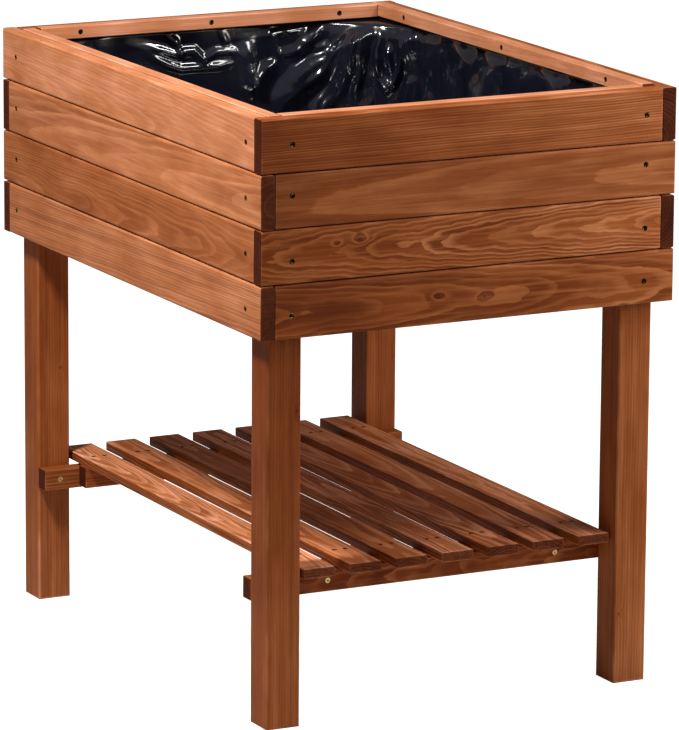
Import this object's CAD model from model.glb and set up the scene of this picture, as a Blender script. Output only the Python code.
"""The looks of the raised planter: stained timber, plated screws, and the film that lines the box.

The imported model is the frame: metres, +Z up, the front faces -Y. Nothing in it is moved.
Each board gets one stained softwood material, cut from a solid tree with its own rings and knots.
The film is one sheet that stands in for the CAD model's plain liner.
"""

import math
import random

import bmesh
import bpy
from mathutils import Matrix, Vector, noise


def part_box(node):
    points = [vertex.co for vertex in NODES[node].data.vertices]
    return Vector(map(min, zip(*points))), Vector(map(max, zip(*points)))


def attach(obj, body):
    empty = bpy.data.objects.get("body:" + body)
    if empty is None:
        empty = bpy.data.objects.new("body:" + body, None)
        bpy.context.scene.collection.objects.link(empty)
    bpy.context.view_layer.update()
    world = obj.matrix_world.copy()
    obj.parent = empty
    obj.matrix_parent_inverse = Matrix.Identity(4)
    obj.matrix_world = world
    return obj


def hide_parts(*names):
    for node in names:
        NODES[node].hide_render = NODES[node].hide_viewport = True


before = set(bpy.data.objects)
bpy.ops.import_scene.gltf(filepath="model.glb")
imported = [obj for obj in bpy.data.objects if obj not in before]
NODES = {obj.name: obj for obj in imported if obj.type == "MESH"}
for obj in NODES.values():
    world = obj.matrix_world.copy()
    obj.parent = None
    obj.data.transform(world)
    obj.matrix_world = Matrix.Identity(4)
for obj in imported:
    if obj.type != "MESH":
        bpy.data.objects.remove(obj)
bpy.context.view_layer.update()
MM = 0.001                  # one millimetre in metres
SIDES = ("front", "back", "left", "right")
OUTWARD = {"front": Vector((0, -1, 0)), "back": Vector((0, 1, 0)),
           "left": Vector((-1, 0, 0)), "right": Vector((1, 0, 0))}
UP = Vector((0, 0, 1))


def show(obj):
    """Puts a new object in the scene."""
    bpy.context.scene.collection.objects.link(obj)


def fade(value, low, high):
    """0 below low, 1 above high, and a smooth step between."""
    share = min(1.0, max(0.0, (value - low) / (high - low)))
    return share * share * (3 - 2 * share)


# ---- Building shader trees ----

class Tree:
    """Adds nodes to a node tree, one call for each."""

    def __init__(self, tree):
        self.tree = tree

    def add(self, kind, inputs=None, **settings):
        node = self.tree.nodes.new(kind)
        for name, value in settings.items():
            setattr(node, name, value)
        for key, value in (inputs or {}).items():
            self.feed(node.inputs[key], value)
        return node

    def feed(self, socket, value):
        """Links a socket to an input, or gives the input a plain value."""
        if isinstance(value, bpy.types.NodeSocket):
            self.tree.links.new(value, socket)
        else:
            socket.default_value = value

    def math(self, operation, a, b=0.0, c=0.0, clamp=False):
        node = self.add("ShaderNodeMath", {0: a, 1: b, 2: c}, operation=operation, use_clamp=clamp)
        return node.outputs[0]

    def vector(self, operation, a, b=(0, 0, 0)):
        return self.add("ShaderNodeVectorMath", {0: a, 1: b}, operation=operation).outputs[0]

    def scaled(self, x, y, z, along, across):
        """A place in mm divided by a pattern's size along the board and across it."""
        return self.join(self.math("DIVIDE", x, along), self.math("DIVIDE", y, across),
                         self.math("DIVIDE", z, across))

    def stretched(self, x, y, stretch):
        """Distance from the origin to (x, y), with x shortened: the loops are long ovals."""
        return self.math("SQRT", self.math("ADD",
                                           self.math("POWER", self.math("DIVIDE", x, stretch), 2.0),
                                           self.math("POWER", y, 2.0)))

    def split(self, vector):
        return self.add("ShaderNodeSeparateXYZ", {0: vector}).outputs

    def join(self, x, y, z):
        return self.add("ShaderNodeCombineXYZ", {0: x, 1: y, 2: z}).outputs[0]

    def smooth(self, value, low, high, start=0.0, end=1.0):
        """start below low, end above high, and a smooth step between."""
        node = self.add("ShaderNodeMapRange", {"Value": value, "From Min": low, "From Max": high,
                                               "To Min": start, "To Max": end},
                        interpolation_type="SMOOTHSTEP")
        return node.outputs[0]

    def noise(self, vector, seed, detail=2.0, roughness=0.5, output="Fac"):
        node = self.add("ShaderNodeTexNoise", {"Vector": vector, "W": seed, "Scale": 1.0,
                                               "Detail": detail, "Roughness": roughness},
                        noise_dimensions="4D")
        return node.outputs[output]

    def noise_along(self, value, detail=1.0):
        """Noise that changes with one number only."""
        node = self.add("ShaderNodeTexNoise", {"W": value, "Scale": 1.0, "Detail": detail},
                        noise_dimensions="1D")
        return node.outputs["Fac"]

    def mix(self, factor, a, b, blend="MIX"):
        node = self.add("ShaderNodeMix", {0: factor, 6: a, 7: b}, data_type="RGBA", blend_type=blend)
        return node.outputs[2]


def new_material(name):
    """(a material with an empty tree, the maker of its nodes, where the shaded point is)."""
    material = bpy.data.materials.new(name)
    material.use_nodes = True
    material.node_tree.nodes.clear()
    t = Tree(material.node_tree)
    return material, t, t.add("ShaderNodeTexCoord").outputs["Object"]


# ---- Timber ----

GRAIN_INPUTS = (
    ("Place", "NodeSocketVector"),      # mm from the board's middle: along, across, outward
    ("Half", "NodeSocketVector"),       # half the board's length, width and thickness, mm
    ("Pith", "NodeSocketVector"),       # the tree's middle at the board's middle, mm; x is unused
    ("Run", "NodeSocketVector"),        # how far the pith moves for each mm along the board
    ("Ring", "NodeSocketFloat"),        # width of a year ring, mm
    ("Wave", "NodeSocketFloat"),        # how far the rings wander, mm
    ("Wave Length", "NodeSocketFloat"),
    ("Ripple", "NodeSocketFloat"),      # short waves in the rings, mm
    ("Seed", "NodeSocketFloat"),
    ("Lines", "NodeSocketFloat"),       # how clearly the pale late wood stands out
    ("Tone", "NodeSocketVector"),       # how light the stain is: at the start, at the end; z unused
    ("Pale", "NodeSocketFloat"),        # how washed out the stain is
    ("Side", "NodeSocketFloat"),        # how much darker the rough-sawn side faces are
    ("Knot A", "NodeSocketVector"),     # along, across, radius
    ("Knot B", "NodeSocketVector"),
)
# The stain, from where the wood drinks most of it to where it is washed or rubbed out
STAIN_DEEP = (0.185, 0.037, 0.005, 1)
STAIN_MID = (0.320, 0.082, 0.017, 1)
STAIN_LIGHT = (0.500, 0.175, 0.060, 1)
STAIN_PALE = (0.560, 0.218, 0.096, 1)
KNOT_BROWN = (0.055, 0.014, 0.004, 1)
SAWN_DARK = (0.11, 0.06, 0.03, 1)       # what the sawn ends are multiplied by, from
SAWN_LIGHT = (0.36, 0.23, 0.14, 1)      # to
SLOW_ACROSS = 55.0          # mm, the size across the board of the rings' slow waves
RIPPLE_SIZE = (26.0, 9.0)   # mm along and across, as are the next ones
FIBRE_SIZE = (55.0, 1.3)
STREAK_SIZE = (160.0, 5.0)
BLOTCH_SIZE = (95.0, 40.0)
KNOT_RING = 1.3             # mm from one ring of a knot to the next
KNOT_LONG = 1.3             # how much longer a knot is than it is wide
SWELL_LONG = 2.0            # the same for the rings that it pushes out
SWELL_REACH = 2.2           # how far it pushes them, in knot radii
SWELL_PUSH = 2.0            # how much it pushes them, in knot radii
KNOT_EDGE = 1.6             # mm over which a knot fades in


def knot_field(t, x, y, knot):
    """(how far a knot pushes the rings out, 1 inside the knot, distance from its middle)."""
    kx, ky, size = t.split(knot)
    dx, dy = t.math("SUBTRACT", x, kx), t.math("SUBTRACT", y, ky)
    wide = t.stretched(dx, dy, SWELL_LONG)
    near = t.stretched(dx, dy, KNOT_LONG)
    share = t.math("DIVIDE", wide, t.math("MULTIPLY", size, SWELL_REACH))
    push = t.math("MULTIPLY", t.math("EXPONENT", t.math("MULTIPLY", t.math("POWER", share, 2.0), -1.0)),
                  t.math("MULTIPLY", size, SWELL_PUSH))
    inside = t.math("DIVIDE", t.math("SUBTRACT", size, near), KNOT_EDGE, clamp=True)
    return push, inside, near


def grain_group():
    """The node group that all boards share: colour, roughness and height of stained softwood."""
    group = bpy.data.node_groups.new("timber_grain", "ShaderNodeTree")
    for name, kind in GRAIN_INPUTS:
        group.interface.new_socket(name, in_out="INPUT", socket_type=kind)
    for name, kind in (("Color", "NodeSocketColor"), ("Roughness", "NodeSocketFloat"),
                       ("Height", "NodeSocketFloat")):
        group.interface.new_socket(name, in_out="OUTPUT", socket_type=kind)
    t = Tree(group)
    given = t.add("NodeGroupInput").outputs
    x, y, z = t.split(given["Place"])
    half_x, half_y, half_z = t.split(given["Half"])
    _, pith_y, pith_z = t.split(given["Pith"])
    _, run_y, run_z = t.split(given["Run"])
    seed = given["Seed"]

    # Year rings round the pith, bent by slow waves, ripples and knots
    slow_at = t.scaled(x, y, z, given["Wave Length"], SLOW_ACROSS)
    slow = t.split(t.noise(slow_at, seed, output="Color"))
    wander = [t.math("MULTIPLY", t.math("SUBTRACT", s, 0.5), t.math("MULTIPLY", given["Wave"], 2.0))
              for s in slow[:2]]
    off_y, off_z = (t.math("ADD", t.math("SUBTRACT", t.math("SUBTRACT", place, pith),
                                         t.math("MULTIPLY", x, run)), bent)
                    for place, pith, run, bent in ((y, pith_y, run_y, wander[0]),
                                                   (z, pith_z, run_z, wander[1])))
    radius = t.stretched(off_y, off_z, 1.0)
    ripple_at = t.scaled(x, y, z, *RIPPLE_SIZE)
    ripple = t.math("MULTIPLY", t.math("SUBTRACT", t.noise(ripple_at, seed), 0.5), given["Ripple"])
    push_a, knot_a, near_a = knot_field(t, x, y, given["Knot A"])
    push_b, knot_b, near_b = knot_field(t, x, y, given["Knot B"])
    pushes = t.math("ADD", push_a, push_b)
    depth = t.math("ADD", t.math("ADD", radius, ripple), pushes)
    phase = t.math("DIVIDE", depth, given["Ring"])
    part = t.math("FRACT", phase)
    year = t.math("FLOOR", phase)

    # Late wood is a thin line at the end of each ring; the stain takes less on it
    chance = t.add("ShaderNodeTexWhiteNoise", {"W": t.math("ADD", year, seed)}, noise_dimensions="1D")
    rise = t.smooth(part, 0.35, 0.85)
    fall = t.smooth(part, 0.92, 1.0, 1.0, 0.0)
    line = t.math("MULTIPLY", t.math("MULTIPLY", rise, fall),
                  t.math("MULTIPLY_ADD", chance.outputs["Value"], 0.65, 0.35))
    broad = t.smooth(t.noise_along(t.math("MULTIPLY_ADD", phase, 0.31, seed)), 0.3, 0.7)

    # Fibres, streaks and blotches of stain
    fibre = t.noise(t.scaled(x, y, z, *FIBRE_SIZE), seed, detail=3.0, roughness=0.6)
    streak = t.noise(t.scaled(x, y, z, *STREAK_SIZE), seed)
    blotch = t.noise(t.scaled(x, y, z, *BLOTCH_SIZE), seed, detail=3.0)

    # Early wood between deep and mid stain, then pale streaks, then the late wood's lines
    contrast = t.math("MULTIPLY_ADD", given["Lines"], 1.1, 0.2, clamp=True)
    broad = t.math("MULTIPLY_ADD", t.math("SUBTRACT", broad, 0.5), contrast, 0.5)
    body = t.mix(broad, STAIN_DEEP, STAIN_MID)
    streaky = t.math("MULTIPLY_ADD", given["Lines"], 0.5, 0.12)
    body = t.mix(t.math("MULTIPLY", t.smooth(streak, 0.45, 0.75), streaky), body, STAIN_LIGHT)
    body = t.mix(t.math("MULTIPLY", line, given["Lines"], clamp=True), body, STAIN_LIGHT)
    body = t.mix(given["Pale"], body, STAIN_PALE)

    # Knots: brown, with their own small rings
    for inside, near in ((knot_a, near_a), (knot_b, near_b)):
        small = t.smooth(t.math("PINGPONG", near, KNOT_RING), 0.2, 1.1)
        brown = t.mix(small, KNOT_BROWN, STAIN_DEEP)
        body = t.mix(t.math("MULTIPLY", inside, 0.85), body, brown)

    # Edges are a little rubbed; the sawn ends drink the stain and go dark
    left = [t.math("SUBTRACT", h, t.math("ABSOLUTE", p))
            for h, p in ((half_x, x), (half_y, y), (half_z, z))]
    total = t.math("ADD", t.math("ADD", left[0], left[1]), left[2])
    most = t.math("MAXIMUM", t.math("MAXIMUM", left[0], left[1]), left[2])
    edge = t.smooth(t.math("SUBTRACT", total, most), 0.6, 3.4, 1.0, 0.0)
    worn = t.math("MULTIPLY", edge, t.smooth(blotch, 0.4, 0.62, 0.06, 0.50))
    body = t.mix(worn, body, STAIN_PALE)
    end = t.smooth(left[0], 0.3, 1.1, 1.0, 0.0)
    saw_at = t.join(t.math("DIVIDE", x, 3.0), t.math("DIVIDE", y, 0.8), t.math("DIVIDE", z, 14.0))
    saw = t.noise(saw_at, seed)
    end_tone = t.mix(t.math("MULTIPLY", saw, 0.9), SAWN_DARK, SAWN_LIGHT)
    body = t.mix(end, body, t.mix(1.0, body, end_tone, "MULTIPLY"))

    # How light the board is: by fibre and blotch, from start to end, and on its rough-sawn sides
    shade = t.math("MULTIPLY", t.smooth(fibre, 0.2, 0.8, 0.86, 1.12),
                   t.smooth(blotch, 0.2, 0.8, 0.80, 1.18))
    tone_start, tone_end, _ = t.split(given["Tone"])
    far = t.math("MULTIPLY_ADD", t.math("DIVIDE", x, half_x), 0.5, 0.5)
    tone = t.math("ADD", t.math("MULTIPLY", tone_end, far),
                  t.math("MULTIPLY", tone_start, t.math("SUBTRACT", 1.0, far)))
    sawn_side = t.math("MULTIPLY", t.smooth(left[1], 0.05, 0.6, 1.0, 0.0), given["Side"])
    shade = t.math("MULTIPLY", t.math("MULTIPLY", shade, tone), t.math("SUBTRACT", 1.0, sawn_side))
    # More stain takes away blue first, then green
    tint = t.join(shade, t.math("POWER", shade, 1.5), t.math("POWER", shade, 2.4))
    color = t.vector("MULTIPLY", body, tint)

    # Late wood is smoother and stands proud; the sawn ends are rough
    rough = t.math("ADD", t.smooth(fibre, 0.2, 0.8, 0.50, 0.66), t.math("MULTIPLY", end, 0.2))
    rough = t.math("SUBTRACT", rough, t.math("MULTIPLY", line, 0.10))
    height = t.math("ADD", t.math("MULTIPLY", line, 0.35), t.math("MULTIPLY", fibre, 0.65))
    height = t.math("ADD", height, t.math("MULTIPLY", t.math("MULTIPLY", end, saw), 0.8))
    out = t.add("NodeGroupOutput")
    t.feed(out.inputs["Color"], color)
    t.feed(out.inputs["Roughness"], rough)
    t.feed(out.inputs["Height"], height)
    return group


GRAIN = grain_group()


def timber_material(node, along, out, settings):
    """Stained softwood cut for one board: along is its length, out the face that shows."""
    lo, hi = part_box(node)
    middle = (lo + hi) / 2
    across = out.cross(along)
    turn = Matrix((along, across, out)).transposed()
    size = hi - lo
    half = Vector([abs(size.dot(axis)) / 2 / MM for axis in (along, across, out)])

    material, t, where = new_material("timber_" + node)
    local = t.add("ShaderNodeMapping", {"Vector": where, "Location": middle,
                                        "Rotation": turn.to_euler()}, vector_type="TEXTURE")
    place = t.vector("SCALE", local.outputs[0])
    t.feed(place.node.inputs["Scale"], 1 / MM)
    grain = t.add("ShaderNodeGroup", node_tree=GRAIN)
    t.feed(grain.inputs["Place"], place)
    t.feed(grain.inputs["Half"], half)
    for name, value in settings.items():
        grain.inputs[name].default_value = value
    bump = t.add("ShaderNodeBump", {"Height": grain.outputs["Height"], "Strength": 0.55,
                                    "Distance": 0.35 * MM})
    shader = t.add("ShaderNodeBsdfPrincipled", {"Base Color": grain.outputs["Color"],
                                                "Roughness": grain.outputs["Roughness"],
                                                "Normal": bump.outputs[0],
                                                "Specular IOR Level": 0.14, "IOR": 1.45})
    t.add("ShaderNodeOutputMaterial", {"Surface": shader.outputs[0]})
    return material


def cover(node, material):
    """Gives a CAD node its material."""
    obj = NODES[node]
    obj.data.materials.clear()
    obj.data.materials.append(material)


# What each board looks like. The words are those of GRAIN_INPUTS, sizes are in mm. The pith is given
# as (across, outward), so it lies behind the face; a tone is one number, or one for each end.
PLAIN = dict(pith=(60, -30), run=(0.02, 0.01), ring=4.0, wave=4.0, wave_length=260, ripple=1.2,
             lines=0.5, tone=1.0, pale=0.0, side=0.0, knots=())
BOARD_LOOKS = {
    "board_front_1": dict(pith=(-58, -10), run=(0.014, 0.0), ring=3.2, wave=3.5, wave_length=230,
                          ripple=1.0, lines=0.6, tone=(0.74, 1.22)),
    "board_front_2": dict(pith=(-4, -30), run=(0.0, 0.040), ring=8.5, wave=7.0, wave_length=240,
                          ripple=2.5, lines=0.65, tone=(0.84, 1.12), pale=0.08),
    "board_front_3": dict(pith=(2, -25), run=(0.0, 0.055), ring=3.3, wave=5.0, wave_length=85,
                          ripple=3.2, lines=1.0, tone=(0.72, 1.22),
                          knots=((-182, 12, 2.5), (-150, 14, 3.5))),
    "board_front_4": dict(pith=(-4, -27), run=(0.0, -0.055), ring=5.0, wave=6.0, wave_length=95,
                          ripple=3.0, lines=0.95, tone=(0.66, 0.94),
                          knots=((-58, 2, 3.5), (10, -4, 2.5))),
    "board_left_1": dict(pith=(-26, -24), run=(0.0, -0.060), ring=4.0, wave=5.0, wave_length=150,
                         ripple=1.6, lines=0.5, tone=1.28, pale=0.36),
    "board_left_2": dict(pith=(-14, -24), run=(0.02, 0.040), ring=8.0, wave=8.0, wave_length=260,
                         lines=0.65, tone=1.22, pale=0.22),
    "board_left_3": dict(pith=(-20, -30), run=(0.04, -0.040), ring=3.2, wave=6.0, wave_length=110,
                         lines=0.5, tone=0.93, pale=0.2, knots=((-170, 34, 2.5),)),
    "board_left_4": dict(pith=(-44, -12), run=(0.02, 0.01), ring=3.4, wave=4.0, wave_length=180,
                         lines=0.65, tone=(1.06, 1.18), pale=0.24),
}


def settings_of(look, seed):
    """A board's look as inputs of the grain group. A knot of no size is no knot."""
    knots = [*look["knots"], (0, 0, 0), (0, 0, 0)]
    tones = look["tone"] if isinstance(look["tone"], tuple) else (look["tone"],) * 2
    return {
        "Pith": (0, *look["pith"]), "Run": (0, *look["run"]), "Ring": look["ring"],
        "Wave": look["wave"], "Wave Length": look["wave_length"], "Ripple": look["ripple"],
        "Seed": seed, "Lines": look["lines"], "Tone": (*tones, 0), "Pale": look["pale"],
        "Side": look["side"], "Knot A": knots[0], "Knot B": knots[1],
    }


def some_board(seed):
    """A look for a board that has none of its own."""
    dice = random.Random(seed)
    return dict(PLAIN, pith=(dice.uniform(-60, 60), dice.uniform(-40, -14)),
                run=(dice.uniform(-0.03, 0.03), dice.uniform(-0.04, 0.04)),
                ring=dice.uniform(3.2, 6.0), wave=dice.uniform(3, 6), wave_length=dice.uniform(120, 260),
                lines=dice.uniform(0.35, 0.7), tone=dice.uniform(0.9, 1.1), ripple=dice.uniform(1, 2.5))


def named(*starts):
    """The CAD nodes whose names start with one of these words."""
    return [n for n in NODES if n.startswith(starts)]


def finish_timber(names, along, out, **changes):
    """Covers boards that lie along one way and show their faces to another."""
    for name in names:
        seed = sum(ord(c) * (i + 3) for i, c in enumerate(name)) % 977
        look = dict(some_board(seed), **changes)
        look.update(BOARD_LOOKS.get(name, {}))
        cover(name, timber_material(name, along, out, settings_of(look, seed * 0.37)))


# How light each leg is, from foot to top, and its knots
LEG_LOOKS = {
    "leg_front_left": ((1.12, 0.54), ((28, -18, 3),)),
    "leg_front_right": ((1.42, 0.86), ((-295, 17, 2.5), (160, 17, 3))),
    "leg_back_left": ((1.34, 0.94), ((-60, -10, 2.5),)),
    "leg_back_right": ((1.1, 1.0), ((-40, 12, 3),)),
}
# How light each shelf slat is, from left to right: the box shades the ones behind the first
SLAT_TONES = (1.72, 1.42, 1.32, 1.60, 1.36, 1.36, 1.56)


def all_timber():
    """Covers every timber node; a board's own entry in BOARD_LOOKS wins over what is given here."""
    rightward, backward = Vector((1, 0, 0)), Vector((0, 1, 0))
    for side in SIDES:
        out = OUTWARD[side]
        finish_timber(named("board_" + side), UP.cross(out), out)
        along = rightward if side in ("front", "back") else backward
        finish_timber(["rim_batten_" + side], along, UP, ring=3.0, lines=0.3, tone=1.42, pale=0.36)
        finish_timber(["floor_rail_" + side], along, UP, tone=1.1)
    for leg, (tone, knots) in LEG_LOOKS.items():
        finish_timber([leg], UP, OUTWARD["front"], pith=(70, -40), run=(0.005, 0.004), ring=3.0, wave=3,
                      wave_length=300, ripple=0.8, lines=0.2, tone=tone, knots=knots, side=0.12)
    finish_timber(named("shelf_rail_f", "shelf_bearer_f"), rightward, OUTWARD["front"], pith=(-8, -24),
                  run=(0.0, 0.06), ring=3.4, wave=6, wave_length=70, ripple=3.0, lines=1.0,
                  tone=(0.80, 0.70))
    finish_timber(named("shelf_rail_b", "shelf_bearer_b"), rightward, OUTWARD["back"], lines=0.5,
                  tone=0.95)
    for i, tone in enumerate(SLAT_TONES):
        finish_timber(["shelf_slat_%d" % (i + 1)], backward, UP, tone=tone, lines=0.95,
                      ring=3.2 + i % 3, pith=(12 - 5 * i % 23, -26), run=(0.0, 0.05 - 0.02 * (i % 4)),
                      wave=6, ripple=2.6, side=0.5)
    finish_timber([n for n in named("floor_") if "board" in n], rightward, UP, tone=1.1)


all_timber()


# ---- Screws ----

SCRATCHES = (900,) * 3      # marks for each metre in the screws' plating
WORN_SPOTS = (420,) * 3     # and spots where it is gone


def screw_material(name, dull, bright, share):
    """Plated steel: dull is the worn colour, bright the plating, share how much plating is left."""
    material, t, where = new_material(name)
    fine = t.noise(t.vector("MULTIPLY", where, SCRATCHES), 3.0, detail=3.0)
    coarse = t.noise(t.vector("MULTIPLY", where, WORN_SPOTS), 8.0, detail=1.0)
    plated = t.smooth(coarse, 0.62 - 0.3 * share, 0.72 - 0.3 * share)
    color = t.mix(plated, dull, bright)
    rough = t.smooth(fine, 0.3, 0.7, 0.28, 0.5)
    bump = t.add("ShaderNodeBump", {"Height": fine, "Strength": 0.2, "Distance": 0.1 * MM})
    shader = t.add("ShaderNodeBsdfPrincipled", {"Base Color": color, "Roughness": rough,
                                                "Metallic": 1.0, "Normal": bump.outputs[0]})
    t.add("ShaderNodeOutputMaterial", {"Surface": shader.outputs[0]})
    return material


SHINY = screw_material("screw_brass", (0.34, 0.19, 0.06, 1), (0.85, 0.62, 0.28, 1), 0.8)
WORN = screw_material("screw_worn", (0.030, 0.014, 0.006, 1), (0.70, 0.45, 0.16, 1), 0.15)
for name in NODES:
    if name.endswith("_screws"):
        cover(name, SHINY if name == "shelf_rail_screws" else WORN)


# ---- Film ----

FINE_STEP = 2.2             # mm between points of the film where its folds are small
WIDE_STEP = 5.0             # and where they are not
FINE_DEEP = 120.0           # how far down from the top the small folds go
FINE_ALONG = (-130, 400)    # and where along the wall, measured as for the creases
FILM_CLEAR = 2.0            # how far the film stays off the walls
SLOT_CLEAR = 0.3            # and how far behind the battens
LEG_CLEAR = 22.0            # and off the legs, before its turns are rounded off
LEG_ROUNDING = 72.0         # mm on each side over which they are rounded
PLAN_STEP = 3.0             # mm between the points of the film's outline in plan
OVER_LEG = 0.8              # how far the film passes above the tops of the legs
FLOOR_BEND = 18.0           # radius of the bend from floor to wall
BEND_ROWS = 5               # rows of points in that bend
SLOT_ROWS = (6, 12)         # mm below the film's top edge, behind the battens
TURN_ROWS = ((2.2, 1.0), (1.4, 0.66), (0.8, 0.33))  # mm above the legs, share still in the slot
FLOOR_ROWS = 34             # rows of points from the bend to the middle of the floor
SLACK = 2.2                 # mm, how far the film swells
SLACK_SIZE = (85, 75)       # size of the swells, mm along and up
ROUGH_SIZE = (110, 90)      # size of the rougher and the calmer parts
ROUGH_FADE = (0.04, 0.25)   # how the ones turn into the others
PANEL_DEEP = 8              # mm, depth of the large panels
SMALL_PANELS = (0.31, 1.6)  # size of the small ones beside the large, and their depth in mm
FLOOR_PANELS = ((1.3, 0.3, 5), (0.5, 0.7, 2))     # on the floor: size, seed and depth in mm
FLOOR_OFF = 400             # moves the floor's pattern away from the walls' one, mm
SMOOTH_ABOVE = (640, 700)   # heights between which the film grows smooth, at the next two places
BACK_SMOOTH = -95           # middle of the back wall's smooth stretch, along as for the creases
BACK_SMOOTH_PART = (130, 210)   # how far from there it ends
RIGHT_SMOOTH = (400, 470)   # where the right wall's smooth stretch starts
BACK_LESS = 0.85            # share of swells and panels that is taken away in the one
RIGHT_LESS = 0.75           # and in the other
TOP_FADE = (-4, 16)         # mm below the top over which the folds start
LOOSE_END = 0.25            # share of a crease's length over which it dies away at each end
BLUNT_END = 4               # mm, so that it doesn't start from nothing
# Creases in the film, each a run of (along, height), then how proud and how wide on each side, mm.
# Along goes from the middle of the back wall, past the right-hand corner, and down the right wall.
# Most of these places were worked out by a separate measuring script and then rounded to a few mm.
# They are traced data and not a design by hand, as report.md says.
BACK_CREASES = (
    (((-120, 770), (-70, 755), (-46, 747), (-35, 752), (-20, 752), (-6, 738), (15, 748), (40, 748),
      (52, 738), (57, 710)), 5, 10),
    (((-120, 765), (-85, 748), (-60, 735), (-40, 728), (15, 728), (40, 730), (50, 716)), 5, 10),
    (((-50, 772), (-42, 750)), 4, 7),
    (((22, 782), (30, 758)), 3, 8),
    (((-65, 784), (-48, 762)), 3, 7),
    (((60, 762), (68, 685)), 9, 21),
    (((64, 722), (70, 688)), 5, 10),
    (((72, 686), (76, 706), (90, 721), (110, 726)), 7, 12),
    (((104, 722), (108, 738), (102, 768), (126, 772), (160, 778)), 4, 8),
    (((145, 748), (165, 762), (186, 784)), 7, 13),
    (((115, 738), (142, 744)), 5, 11),
    (((175, 744), (196, 748)), 4, 9),
    (((-150, 590), (-80, 650), (-20, 690)), 8, 36),
)
CORNER_FOLDS = (
    (((290, 784), (255, 750), (215, 725), (145, 700), (100, 655)), 13, 30),
    (((285, 784), (260, 735), (215, 680), (160, 630)), 10, 24),
    (((285, 772), (210, 740), (130, 710)), 5, 13),
    (((270, 784), (225, 752), (190, 712), (120, 676)), 4, 10),
    (((282, 776), (278, 748), (270, 715), (254, 676)), 9, 14),
    (((264, 770), (252, 732), (256, 704)), 5, 9),
    (((304, 780), (310, 764), (305, 740), (308, 704), (324, 690), (343, 700), (358, 722), (358, 745),
      (350, 780)), 7, 12),
    (((338, 694), (354, 716), (361, 734)), 6, 9),
    (((328, 748), (332, 716)), 5, 10),
    (((386, 782), (392, 744)), 6, 10),
    (((412, 772), (412, 746)), 5, 9),
    (((372, 784), (376, 700), (360, 620)), 6, 20),
)
RIGHT_FOLDS = (
    (((436, 786), (430, 700), (440, 610)), 7, 30),
    (((500, 784), (540, 750), (565, 705), (570, 620)), 9, 36),
    (((630, 788), (610, 740), (595, 640)), 8, 42),
    (((755, 786), (790, 755), (810, 700), (805, 600)), 9, 40),
    (((905, 786), (930, 700), (915, 590)), 7, 32),
)
CREASES = BACK_CREASES + CORNER_FOLDS + RIGHT_FOLDS
# The flat panels the film falls into: lean of the creases between them, and mm from one to the next
PANELS = ((0.55, 74), (1.95, 58), (2.65, 96))
PANEL_EDGE = 0.16           # how rounded the creases between panels are
PANEL_BEND = (95, 0.25)     # mm from one bend in them to the next, and how far they bend


def film_material():
    """Glossy black film with a faint blue haze and fine crinkles."""
    material, t, where = new_material("liner_film")
    crinkle = t.noise(t.vector("MULTIPLY", where, (45, 45, 45)), 2.0, detail=3.0)
    haze = t.noise(t.vector("MULTIPLY", where, (14, 14, 9)), 5.0, detail=2.0)
    color = t.mix(haze, (0.002, 0.002, 0.004, 1), (0.010, 0.011, 0.022, 1))
    rough = t.smooth(haze, 0.35, 0.65, 0.08, 0.21)
    bump = t.add("ShaderNodeBump", {"Height": crinkle, "Strength": 0.14, "Distance": 0.8 * MM})
    shader = t.add("ShaderNodeBsdfPrincipled", {"Base Color": color, "Roughness": rough,
                                                "Normal": bump.outputs[0], "IOR": 1.5,
                                                "Specular IOR Level": 1.0})
    t.add("ShaderNodeOutputMaterial", {"Surface": shader.outputs[0]})
    return material


def crease_depth(along, height):
    """How far the creases lift the film off the wall at one place."""
    here = Vector((along, height))
    depth = 0.0
    for points, proud, wide in CREASES:
        places = [p[0] for p in points]
        if not min(places) - wide < along < max(places) + wide:
            continue
        nearest, spot, run = wide, 0.0, 0.0
        for a, b in zip(points, points[1:]):
            a, b = Vector(a), Vector(b)
            length = (b - a).length
            share = min(1.0, max(0.0, (here - a).dot(b - a) / length ** 2))
            gap = (a.lerp(b, share) - here).length
            if gap < nearest:
                nearest, spot = gap, run + share * length
            run += length
        if nearest < wide:
            end = min(spot, run - spot)
            taper = min(1.0, (end + BLUNT_END) / (LOOSE_END * run))
            depth += proud * taper * math.cos(nearest / wide * math.pi / 2) ** 2
    return depth


def panels(along, height, size, seed):
    """Flat panels that meet in straight, barely rounded creases, from 0 to 1."""
    pitch_of_bend, bent = PANEL_BEND
    bend = bent * size * noise.noise(Vector((along, height, seed * 40)) / (pitch_of_bend * size))
    depth = 0.0
    for lean, pitch in PANELS:
        across = (along * math.cos(lean) + height * math.sin(lean)) / (pitch * size)
        share = (across + bend + seed * (1 + lean)) % 1
        depth += math.hypot(2 * share - 1, PANEL_EDGE) / len(PANELS)
    return depth


def film_depth(along, height, top, seed):
    """How far inwards the film stands off the wall, mm."""
    slack = SLACK * (1 + noise.noise(Vector((along / SLACK_SIZE[0], height / SLACK_SIZE[1], seed))))
    mood = noise.noise(Vector((along / ROUGH_SIZE[0], height / ROUGH_SIZE[1], seed + 5)))
    rough = fade(abs(mood), *ROUGH_FADE)
    high_up = fade(height, *SMOOTH_ABOVE)
    on_back = 1 - fade(abs(along - BACK_SMOOTH), *BACK_SMOOTH_PART)
    on_right = fade(along, *RIGHT_SMOOTH)
    loose = 1 - BACK_LESS * on_back * high_up - RIGHT_LESS * on_right * high_up
    crumpled = PANEL_DEEP * panels(along, height, 1, seed) * (0.3 + 0.7 * rough)
    small, small_deep = SMALL_PANELS
    crumpled += small_deep * panels(along, height, small, seed + 0.4) * rough
    folded = (slack + crumpled) * loose + crease_depth(along, height)
    return folded * fade(top - height, *TOP_FADE)


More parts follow.
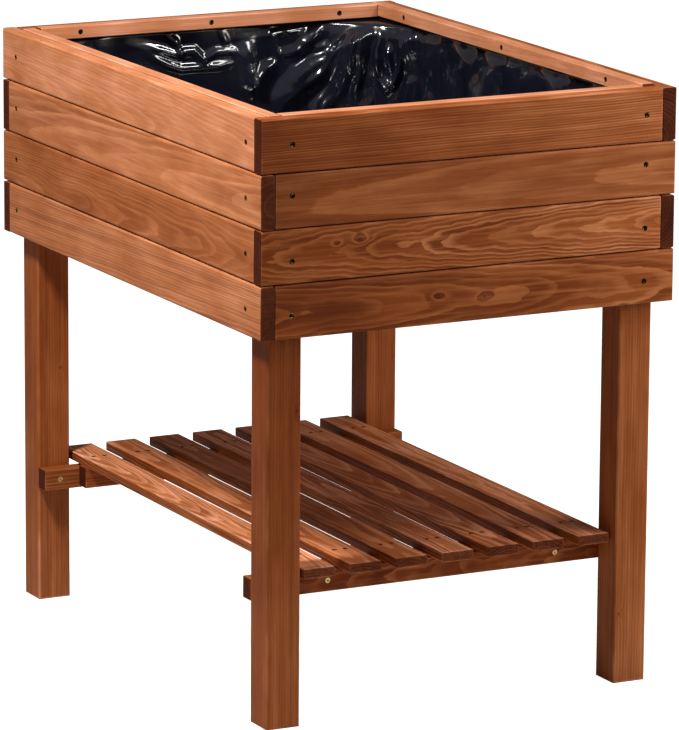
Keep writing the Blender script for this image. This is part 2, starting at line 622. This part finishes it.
def walk(corners, step):
    """Points at equal steps along a closed run of straight lines."""
    lengths = [(b - a).length for a, b in zip(corners, corners[1:] + corners[:1])]
    count = round(sum(lengths) / step)
    points = []
    for i in range(count):
        left = sum(lengths) * i / count
        for k, length in enumerate(lengths):
            if left <= length:
                break
            left -= length
        points.append(corners[k].lerp(corners[(k + 1) % len(corners)], left / length))
    return points


def rounded(points, reach):
    """Each point moved to the middle of its neighbours on a closed run."""
    count = len(points)
    return [sum((points[(i + k) % count] for k in range(-reach, reach + 1)), Vector((0, 0)))
            / (2 * reach + 1) for i in range(count)]


def at(points, share):
    """The place a share of the way round a closed run of equally spaced points."""
    place = share % 1 * len(points)
    i = int(place)
    return points[i % len(points)].lerp(points[(i + 1) % len(points)], place - i)


def film_plan(inset, notch):
    """The corners of the box's inside in plan, mm, from the middle of the front, legs left out."""
    lo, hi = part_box("liner")
    x, y = hi.x / MM - inset, hi.y / MM - inset
    corners = [Vector((0, -y))]
    for sx, sy in ((1, -1), (1, 1), (-1, 1), (-1, -1)):
        bend = [Vector((sx * (x - notch), sy * y)), Vector((sx * (x - notch), sy * (y - notch))),
                Vector((sx * x, sy * (y - notch)))]
        if notch == 0:
            bend = bend[:1]
        corners += bend if sx * sy < 0 else bend[::-1]
    return corners


def floor_spot(edge, share):
    """A point of the film on the floor, a share of the way from the middle to the bend."""
    x, y = edge.x / MM * share, edge.y / MM * share
    swell = sum(deep * panels(x + FLOOR_OFF, y + FLOOR_OFF, size, seed)
                for size, seed, deep in FLOOR_PANELS)
    return Vector((x, y, edge.z / MM + swell * fade(1 - share, 0, 0.15))) * MM


def liner_film():
    """One sheet: up from the floor, round the legs, over their tops and up behind the battens."""
    lo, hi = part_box("liner")
    leg_lo, leg_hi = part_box("leg_back_right")
    slot_top, floor, over_leg = hi.z / MM, lo.z / MM, leg_hi.z / MM + OVER_LEG
    notch = hi.x / MM - leg_lo.x / MM + LEG_CLEAR - FILM_CLEAR
    perimeter = 4 * (hi.x + hi.y) / MM
    low = rounded(walk(film_plan(FILM_CLEAR, notch), PLAN_STEP), round(LEG_ROUNDING / PLAN_STEP))
    high = rounded(walk(film_plan(SLOT_CLEAR, 0), PLAN_STEP), 1)
    # Which way is inwards at each point, from the line through its neighbours
    inward = []
    for i in range(len(low)):
        run = low[(i + 5) % len(low)] - low[i - 5]
        inward.append(Vector((-run.y, run.x)).normalized())

    def along_of(share):
        """(place along the wall as the creases measure it, 0 or 1 for the half of the box)."""
        back_middle = hi.x / MM + perimeter * (0.5 - share)
        turn, rest = divmod(back_middle, perimeter / 2)
        return rest - hi.x / MM, turn % 2

    shares = [0.0]
    while shares[-1] < 1:
        along, turn = along_of(shares[-1])
        fine = FINE_ALONG[0] < along < FINE_ALONG[1] and turn == 0
        shares.append(shares[-1] + (FINE_STEP if fine else WIDE_STEP) / perimeter)
    shares.pop()
    count = len(shares)

    def spot(i, height, over, inset):
        """A column's point at a height: over is 1 in the slot and 0 on the wall, inset is inwards."""
        along, turn = along_of(shares[i])
        out = at(inward, shares[i])
        place = at(low, shares[i]).lerp(at(high, shares[i]), over) + out * inset
        depth = film_depth(along, height, over_leg, 2.1 + 5.2 * turn) if over == 0 else 0
        return Vector((*(place + out * depth), height)) * MM

    bm = bmesh.new()
    column = bm.verts.layers.int.new("column")
    made = bmesh.ops.create_circle(bm, segments=count, radius=1)
    for i, vert in enumerate(made["verts"]):
        vert[column] = i
        vert.co = spot(i, slot_top, 1.0, 0.0)
    edges = list(bm.edges)

    def next_row(edges, place):
        """Grows the sheet by one row of points and puts each where its column says."""
        grown = bmesh.ops.extrude_edge_only(bm, edges=edges)["geom"]
        fresh = {g for g in grown if isinstance(g, bmesh.types.BMVert)}
        for vert in fresh:
            vert.co = place(vert[column])
        return [g for g in grown if isinstance(g, bmesh.types.BMEdge) and fresh.issuperset(g.verts)]

    # Rows of points as (height, over, inset): the slot, over the legs, down the wall, round the bend
    rows = [(slot_top - down, 1.0, 0.0) for down in SLOT_ROWS]
    rows += [(over_leg + up, over, 0.0) for up, over in TURN_ROWS]
    fine_rows = round(FINE_DEEP / FINE_STEP)
    wall_foot = floor + FLOOR_BEND
    wide_part = over_leg - FINE_STEP * fine_rows - wall_foot
    wide_rows = round(wide_part / WIDE_STEP)
    rows += [(over_leg - FINE_STEP * k, 0.0, 0.0) for k in range(fine_rows)]
    rows += [(wall_foot + wide_part * (1 - k / wide_rows), 0.0, 0.0) for k in range(wide_rows + 1)]
    for k in range(1, BEND_ROWS + 1):
        turn = k / BEND_ROWS * math.pi / 2
        rows.append((floor + FLOOR_BEND * (1 - math.sin(turn)), 0.0, FLOOR_BEND * (1 - math.cos(turn))))
    for height, over, inset in rows:
        edges = next_row(edges, lambda i, h=height, o=over, n=inset: spot(i, h, o, n))
    # The floor: smaller and smaller rings, then a cap
    rim = {v[column]: v.co.copy() for e in edges for v in e.verts}
    for k in range(1, FLOOR_ROWS):
        share = 1 - k / FLOOR_ROWS
        edges = next_row(edges, lambda i, s=share: floor_spot(rim[i], s))
    middle = bmesh.ops.edgeloop_fill(bm, edges=edges)["faces"]
    bmesh.ops.triangulate(bm, faces=middle)
    bmesh.ops.recalc_face_normals(bm, faces=bm.faces)
    if sum(f.normal.z * f.calc_area() for f in bm.faces) < 0:
        bmesh.ops.reverse_faces(bm, faces=bm.faces)
    for face in bm.faces:
        face.smooth = True
    mesh = bpy.data.meshes.new("liner_film")
    bm.to_mesh(mesh)
    bm.free()
    obj = bpy.data.objects.new("liner_film", mesh)
    show(obj)
    mesh.materials.append(film_material())
    # The film before it was laid in: the box's inside, plus a wall's height on every side
    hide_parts("liner")
    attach(obj, "root")


liner_film()


# ---- Studio ----

SKY_LIGHT = 0.16            # strength of the even light from all round
FLOOR_GREY = 0.6            # what the floor gives back of the light on it
FLOOR_GLOW = (0.95, 0.05)   # how much it shines when seen straight, and how much always


def softbox(name, place, target, size, power, color):
    """An area light of size (along, across) in metres and power in watts, aimed at target."""
    light = bpy.data.lights.new(name, "AREA")
    light.shape = "RECTANGLE"
    light.size, light.size_y = size
    light.energy = power
    light.color = color
    obj = bpy.data.objects.new(name, light)
    show(obj)
    obj.location = place
    obj.rotation_euler = (Vector(target) - obj.location).to_track_quat("-Z", "Y").to_euler()


def studio():
    """A white floor, an even sky and three softboxes."""
    world = bpy.data.worlds.new("studio")
    world.use_nodes = True
    sky = world.node_tree.nodes["Background"]
    sky.inputs["Color"].default_value = (1, 1, 1, 1)
    sky.inputs["Strength"].default_value = SKY_LIGHT
    bpy.context.scene.world = world

    mesh = bpy.data.meshes.new("floor")
    bm = bmesh.new()
    bmesh.ops.create_grid(bm, x_segments=1, y_segments=1, size=14)
    bm.to_mesh(mesh)
    bm.free()
    floor = bpy.data.objects.new("floor", mesh)
    show(floor)
    material = bpy.data.materials.new("floor_white")
    material.use_nodes = True
    t = Tree(material.node_tree)
    shader = material.node_tree.nodes["Principled BSDF"]
    shader.inputs["Base Color"].default_value = (FLOOR_GREY, FLOOR_GREY, FLOOR_GREY, 1)
    shader.inputs["Roughness"].default_value = 0.9
    shader.inputs["Emission Color"].default_value = (1, 1, 1, 1)
    seen = t.add("ShaderNodeLightPath").outputs["Is Camera Ray"]
    t.feed(shader.inputs["Emission Strength"], t.math("MULTIPLY_ADD", seen, *FLOOR_GLOW))
    floor.data.materials.append(material)

    softbox("key", (-1.15, -0.30, 2.05), (-0.3, 0, 0.6), (0.24, 0.24), 46, (1.0, 0.98, 0.95))
    softbox("fill", (1.25, -1.15, 1.05), (0.2, -0.3, 0.6), (0.5, 0.5), 9, (1.0, 0.95, 0.90))
    softbox("top", (1.15, -1.17, 2.25), (0, 0.3, 0.7), (1.3, 0.18), 26, (1.0, 0.98, 0.96))
    bpy.context.scene.view_settings.view_transform = "Standard"


studio()


# ---- Camera ----

# From a separate perspective fit, rounded
AIM = Vector((0.012, -0.0114, 0.3785))      # the point in the middle of the view
DISTANCE = 7.382            # metres from there to the camera
AZIMUTH, ELEVATION, ROLL = (math.radians(a) for a in (-27.01, 12.57, 0.39))
LENS = 269.3                # mm
SENSOR_WIDTH = 36           # mm
FARTHEST = 100              # metres


def place_camera():
    """A long lens from the front left, a little above the rim."""
    back = Vector((math.sin(AZIMUTH) * math.cos(ELEVATION),
                   -math.cos(AZIMUTH) * math.cos(ELEVATION), math.sin(ELEVATION)))
    data = bpy.data.cameras.new("camera")
    data.lens = LENS
    data.sensor_width = SENSOR_WIDTH
    data.clip_end = FARTHEST
    camera = bpy.data.objects.new("camera", data)
    show(camera)
    camera.location = AIM + back * DISTANCE
    level = (-back).to_track_quat("-Z", "Y").to_matrix()
    camera.rotation_euler = (level @ Matrix.Rotation(ROLL, 3, "Z")).to_euler()
    bpy.context.scene.camera = camera


place_camera()
